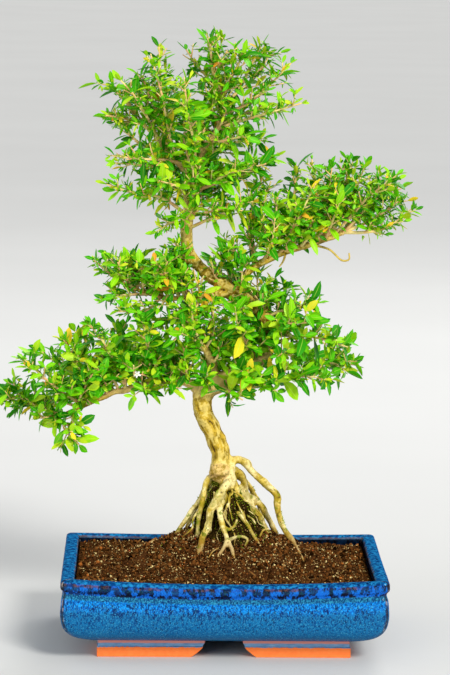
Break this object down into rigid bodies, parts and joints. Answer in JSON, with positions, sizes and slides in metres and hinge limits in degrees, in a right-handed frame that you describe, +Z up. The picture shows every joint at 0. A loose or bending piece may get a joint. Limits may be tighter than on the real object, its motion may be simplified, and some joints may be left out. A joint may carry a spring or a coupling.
{
  "type": "serissa bonsai in a glazed tray",
  "caption": "Small-leaved bonsai tree: thick S-shaped trunk on bare claw-like roots, airy leaf pads, set in soil in a low blue glazed footed tray.",
  "frame": {"origin": "on the surface that the feet stand on, under the middle of the whole plant's box; the tray's centre lies 13.7 mm towards +X", "axes": "+Z up, +X along the tray's long side to the right as seen from the front, -Y towards the viewer"},
  "size_m": [0.3194, 0.19, 0.4742],
  "materials": {
    "blue_glaze": "glossy run glaze, bare terracotta feet",
    "dark_soil": "loose dark potting soil with pale grit",
    "tan_bark": "matt tan bark, mossy towards the soil",
    "white_petal": "thin soft white petals",
    "green_leaf": "thin satin green blades on tan twigs"
  },
  "bodies": {
    "root": {"tray": "blue_glaze", "soil": "dark_soil", "wood": "tan_bark", "flower": "white_petal", "shoot_crown_01": "green_leaf", "shoot_crown_02": "green_leaf", "shoot_crown_03": "green_leaf", "shoot_crown_04": "green_leaf", "shoot_crown_05": "green_leaf", "shoot_crown_06": "green_leaf", "shoot_crown_07": "green_leaf", "shoot_crown_08": "green_leaf", "shoot_crown_09": "green_leaf", "shoot_crown_10": "green_leaf", "shoot_crown_11": "green_leaf", "shoot_crown_12": "green_leaf", "shoot_crown_13": "green_leaf", "shoot_crown_14": "green_leaf", "shoot_crown_15": "green_leaf", "shoot_crown_16": "green_leaf", "shoot_crown_17": "green_leaf", "shoot_crown_18": "green_leaf", "shoot_crown_19": "green_leaf", "shoot_crown_20": "green_leaf", "shoot_low_left_01": "green_leaf", "shoot_low_left_02": "green_leaf", "shoot_low_left_03": "green_leaf", "shoot_low_left_04": "green_leaf", "shoot_low_left_05": "green_leaf", "shoot_low_left_06": "green_leaf", "shoot_low_left_07": "green_leaf", "shoot_low_left_08": "green_leaf", "shoot_low_left_09": "green_leaf", "shoot_low_left_10": "green_leaf", "shoot_low_right_01": "green_leaf", "shoot_low_right_02": "green_leaf", "shoot_low_right_03": "green_leaf", "shoot_low_right_04": "green_leaf", "shoot_low_right_05": "green_leaf", "shoot_low_right_06": "green_leaf", "shoot_low_right_07": "green_leaf", "shoot_low_right_08": "green_leaf", "shoot_low_right_09": "green_leaf", "shoot_low_right_10": "green_leaf", "shoot_mid_left_01": "green_leaf", "shoot_mid_left_02": "green_leaf", "shoot_mid_left_03": "green_leaf", "shoot_mid_left_04": "green_leaf", "shoot_mid_left_05": "green_leaf", "shoot_mid_left_06": "green_leaf", "shoot_mid_left_07": "green_leaf", "shoot_mid_left_08": "green_leaf", "shoot_right_01": "green_leaf", "shoot_right_02": "green_leaf", "shoot_right_03": "green_leaf", "shoot_right_04": "green_leaf", "shoot_right_05": "green_leaf", "shoot_right_06": "green_leaf", "shoot_right_07": "green_leaf", "shoot_right_08": "green_leaf"}
  },
  "joints": []
}
